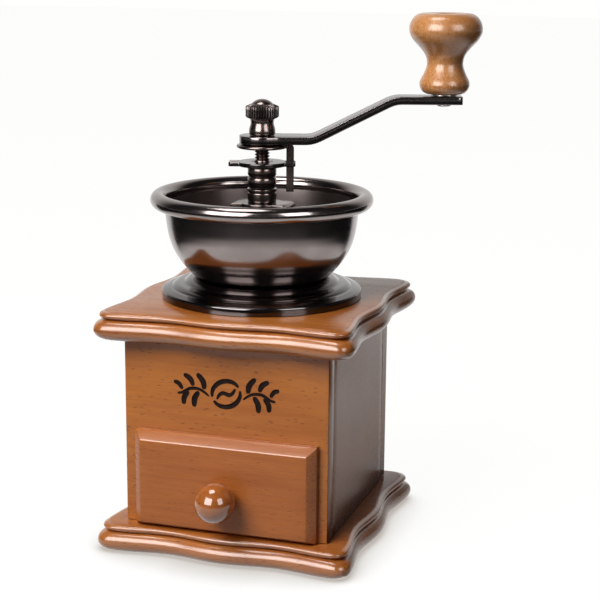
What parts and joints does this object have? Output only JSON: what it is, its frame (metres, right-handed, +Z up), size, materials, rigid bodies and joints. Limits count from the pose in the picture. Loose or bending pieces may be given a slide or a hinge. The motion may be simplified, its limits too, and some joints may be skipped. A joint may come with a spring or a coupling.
{
  "type": "burr coffee grinder",
  "caption": "Hand-cranked burr coffee grinder: a wooden box with a drawer, a metal hopper bowl on top and a cranked arm with a turned wooden knob.",
  "frame": {"origin": "centre of the base board's underside, on the mill's vertical axis", "axes": "+Z up along the spindle; -Y is the drawer's side; +X is to the right of someone facing the drawer, and the crank stands at rest 17.7 degrees from +X towards +Y"},
  "size_m": [0.1685, 0.1458, 0.2625],
  "materials": {
    "varnished_beech": "gloss",
    "drawer_beech": "gloss",
    "raw_wood": "matte",
    "handle_wood": "gloss",
    "black_nickel": "polished",
    "cast_burr": "as cast",
    "bright_steel": "satin"
  },
  "bodies": {
    "housing": {"base_board": "varnished_beech", "top_board": "varnished_beech", "front_panel": "varnished_beech", "back_panel": "varnished_beech", "left_panel": "varnished_beech", "right_panel": "varnished_beech", "drawer_guide_left": "raw_wood", "drawer_guide_right": "raw_wood", "base_screw_1": "bright_steel", "base_screw_2": "bright_steel", "base_screw_3": "bright_steel", "base_screw_4": "bright_steel", "top_dowel_1": "raw_wood", "top_dowel_2": "raw_wood", "top_dowel_3": "raw_wood", "top_dowel_4": "raw_wood", "mount_bolt_1": "black_nickel", "mount_bolt_2": "black_nickel", "mount_bolt_3": "black_nickel", "mount_bolt_4": "black_nickel", "mount_nut_1": "bright_steel", "mount_nut_2": "bright_steel", "mount_nut_3": "bright_steel", "mount_nut_4": "bright_steel", "mount_washer_1": "bright_steel", "mount_washer_2": "bright_steel", "mount_washer_3": "bright_steel", "mount_washer_4": "bright_steel", "skirt_ring": "black_nickel", "hopper_bowl": "black_nickel", "outer_burr": "cast_burr", "bridge": "black_nickel", "bridge_bushing": "black_nickel"},
    "drawer": {"drawer_front": "drawer_beech", "drawer_side_left": "raw_wood", "drawer_side_right": "raw_wood", "drawer_back": "raw_wood", "drawer_floor": "raw_wood", "drawer_knob": "drawer_beech", "drawer_knob_screw": "bright_steel"},
    "adjuster": {"thrust_washer": "black_nickel", "adjusting_nut": "black_nickel", "adjusting_disc": "black_nickel", "burr_spring": "bright_steel"},
    "spindle": {"spindle": "black_nickel", "inner_burr": "cast_burr", "burr_washer": "bright_steel", "burr_nut": "bright_steel", "lock_plate": "black_nickel", "crank_arm": "black_nickel", "cap_nut": "black_nickel", "handle_screw": "bright_steel", "handle_washer": "bright_steel"},
    "handle": {"handle_knob": "handle_wood"}
  },
  "joints": [
    {"name": "drawer_slide", "type": "slide", "parent": "housing", "child": "drawer", "axis": [0, -1, 0], "range_m": [0, 0.08]},
    {"name": "crank_turn", "type": "hinge", "parent": "housing", "child": "adjuster", "pos_m": [0, 0, 0.18], "axis": [0, 0, 1], "continuous": true},
    {"name": "grind_adjust", "type": "slide", "parent": "adjuster", "child": "spindle", "axis": [0, 0, 1], "range_m": [-0.0012, 0.0004], "deforming": ["burr_spring"]},
    {"name": "handle_spin", "type": "hinge", "parent": "spindle", "child": "handle", "pos_m": [0.08517, 0.02718, 0.2237], "axis": [0, 0, 1], "continuous": true}
  ]
}
